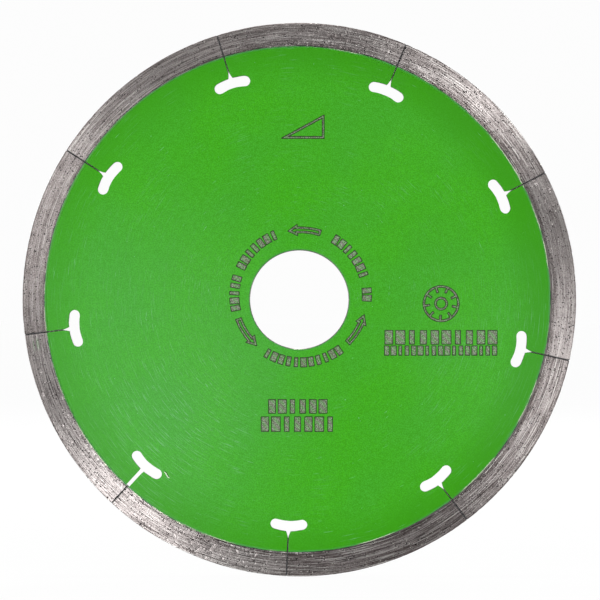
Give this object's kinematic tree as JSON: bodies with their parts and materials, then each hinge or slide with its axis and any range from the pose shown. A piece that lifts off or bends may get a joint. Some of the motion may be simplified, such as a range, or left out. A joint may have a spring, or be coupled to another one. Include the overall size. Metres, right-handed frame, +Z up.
{
  "type": "segmented diamond blade",
  "caption": "Slotted diamond cutting disc: thin painted steel core with a central arbor bore and curved relief slots, edged with a grey sintered diamond rim in separate segments.",
  "frame": {"origin": "centre of the arbor bore, half-way through the thickness of the core", "axes": "+Y along the spin axis, out of the rear face; the printed front face looks towards -Y; +Z up, with the blade standing upright on its rim"},
  "size_m": [0.125, 0.0016, 0.125],
  "materials": {
    "bare_steel": "satin",
    "sintered_rim": "satin",
    "green_paint": "satin"
  },
  "bodies": {
    "root": {"core": "bare_steel", "rim_segment_1": "sintered_rim", "rim_segment_2": "sintered_rim", "rim_segment_3": "sintered_rim", "rim_segment_4": "sintered_rim", "rim_segment_5": "sintered_rim", "rim_segment_6": "sintered_rim", "rim_segment_7": "sintered_rim", "rim_segment_8": "sintered_rim", "rim_segment_9": "sintered_rim", "front_coat": "green_paint", "rear_coat": "green_paint"}
  },
  "joints": []
}
